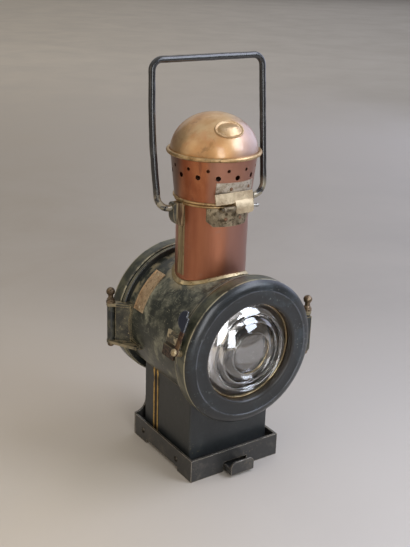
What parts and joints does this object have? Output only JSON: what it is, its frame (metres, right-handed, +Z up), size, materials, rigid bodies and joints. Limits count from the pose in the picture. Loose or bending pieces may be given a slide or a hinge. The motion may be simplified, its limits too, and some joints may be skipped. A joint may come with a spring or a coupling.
{
  "type": "railway signal lamp",
  "caption": "Railway oil signal lamp: a round barrel with hinged lens doors on a square pedestal, a chimney with a tilting vented head, and a swinging carrying handle.",
  "frame": {"origin": "on the floor, under the middle of the base", "axes": "+Z up; -Y is the way the front lens looks, along the barrel's axis; +X is to the right for someone who faces the front lens, and the side where the front door is hinged"},
  "size_m": [0.2328, 0.2072, 0.5535],
  "materials": {
    "green_paint": "scuffed old dark green paint, half gloss, worn lighter on the edges",
    "black_paint": "scuffed dark paint, worn to brown steel on the edges",
    "worn_paint": "dark paint worn through to dull yellowish metal",
    "dull_steel": "dull dark steel",
    "tinned_steel": "dull tinned sheet with brown stains",
    "copper": null,
    "aged_brass": "brown aged brass, brighter where it is rubbed",
    "bright_brass": "satin brass",
    "clear_glass": "clear pressed glass",
    "wick_cotton": "woven flat cotton",
    "felt_seal": "dark packing felt"
  },
  "bodies": {
    "lamp": {"base_frame": "black_paint", "back_plate": "black_paint", "tray_floor": "black_paint", "base_rivets": "dull_steel", "slide_guides": "dull_steel", "pedestal_box": "green_paint", "pedestal_seam": "aged_brass", "font_can": "tinned_steel", "font_lid": "bright_brass", "burner": "bright_brass", "barrel_shell": "green_paint", "collar_ring_front": "green_paint", "collar_ring_rear": "green_paint", "nameplate": "copper", "nameplate_rivets": "copper", "chimney_saddle": "aged_brass", "chimney_tube": "copper", "tube_bead": "aged_brass", "tube_seam": "aged_brass", "bail_brackets": "black_paint", "tube_hinge_plate": "tinned_steel", "tube_hinge_rivets": "copper", "hinge_bracket_front": "worn_paint", "hinge_bracket_rear": "worn_paint", "hinge_pin_front": "aged_brass", "hinge_pin_rear": "aged_brass", "latch_keeper_front": "worn_paint", "latch_keeper_rear": "worn_paint"},
    "thumb_slide": {"base_latch": "black_paint"},
    "cap": {"filler_cap": "bright_brass"},
    "wick_strip": {"wick": "wick_cotton"},
    "knob": {"wick_knob": "bright_brass"},
    "handle": {"bail": "black_paint"},
    "head": {"head_drum": "copper", "head_bead": "aged_brass", "dome": "aged_brass", "head_hinge_plate": "tinned_steel", "head_hinge_leaf": "aged_brass", "head_hinge_rivets": "copper", "draught_baffle": "copper"},
    "draw_pin": {"head_pin": "dull_steel"},
    "front_door": {"door_rim_front": "green_paint", "lens_front": "clear_glass", "lens_bezel_front": "bright_brass", "lens_clamp_front": "bright_brass", "door_seal_front": "felt_seal", "door_strap_front": "black_paint", "latch_pin_front": "aged_brass"},
    "rear_door": {"door_rim_rear": "green_paint", "lens_rear": "clear_glass", "lens_bezel_rear": "bright_brass", "lens_clamp_rear": "bright_brass", "door_seal_rear": "felt_seal", "door_strap_rear": "black_paint", "latch_pin_rear": "aged_brass"},
    "front_latch": {"latch_lever_front": "worn_paint"},
    "rear_latch": {"latch_lever_rear": "worn_paint"}
  },
  "joints": [
    {"name": "bail_swing", "type": "hinge", "parent": "lamp", "child": "handle", "pos_m": [0, 0, 0.365], "axis": [1, 0, 0], "range_deg": [-100, 110]},
    {"name": "head_tilt", "type": "hinge", "parent": "lamp", "child": "head", "pos_m": [0, -0.058, 0.3715], "axis": [1, 0, 0], "range_deg": [0, 110]},
    {"name": "head_pin_draw", "type": "slide", "parent": "lamp", "child": "draw_pin", "axis": [1, 0, 0], "range_m": [0, 0.03]},
    {"name": "front_door_swing", "type": "hinge", "parent": "lamp", "child": "front_door", "pos_m": [0.11, -0.078, 0.186], "axis": [0, 0, 1], "range_deg": [0, 150]},
    {"name": "rear_door_swing", "type": "hinge", "parent": "lamp", "child": "rear_door", "pos_m": [-0.11, 0.078, 0.186], "axis": [0, 0, 1], "range_deg": [0, 150]},
    {"name": "front_latch_turn", "type": "hinge", "parent": "front_door", "child": "front_latch", "pos_m": [-0.10482, -0.084, 0.205], "axis": [0.9397, 0, -0.342], "range_deg": [0, 30]},
    {"name": "rear_latch_turn", "type": "hinge", "parent": "rear_door", "child": "rear_latch", "pos_m": [0.10482, 0.084, 0.205], "axis": [-0.9397, 0, -0.342], "range_deg": [0, 30]},
    {"name": "base_latch_push", "type": "slide", "parent": "lamp", "child": "thumb_slide", "axis": [0, 1, 0], "range_m": [0, 0.012], "stiffness_N_per_m": 300, "springref_m": -0.003},
    {"name": "wick_knob_turn", "type": "hinge", "parent": "lamp", "child": "knob", "pos_m": [0, 0.006, 0.1301], "axis": [1, 0, 0], "range_deg": [-170, 350]},
    {"name": "wick_lift", "type": "slide", "parent": "lamp", "child": "wick_strip", "axis": [0, 0, 1], "range_m": [-0.003, 0.006]},
    {"name": "filler_cap_turn", "type": "hinge", "parent": "lamp", "child": "cap", "pos_m": [-0.036, -0.03, 0.12], "axis": [0, 0, 1], "range_deg": [0, 360]}
  ],
  "couplings": [
    {"joint": "wick_lift", "follows": "wick_knob_turn", "m_per_rad": 0.00095}
  ]
}
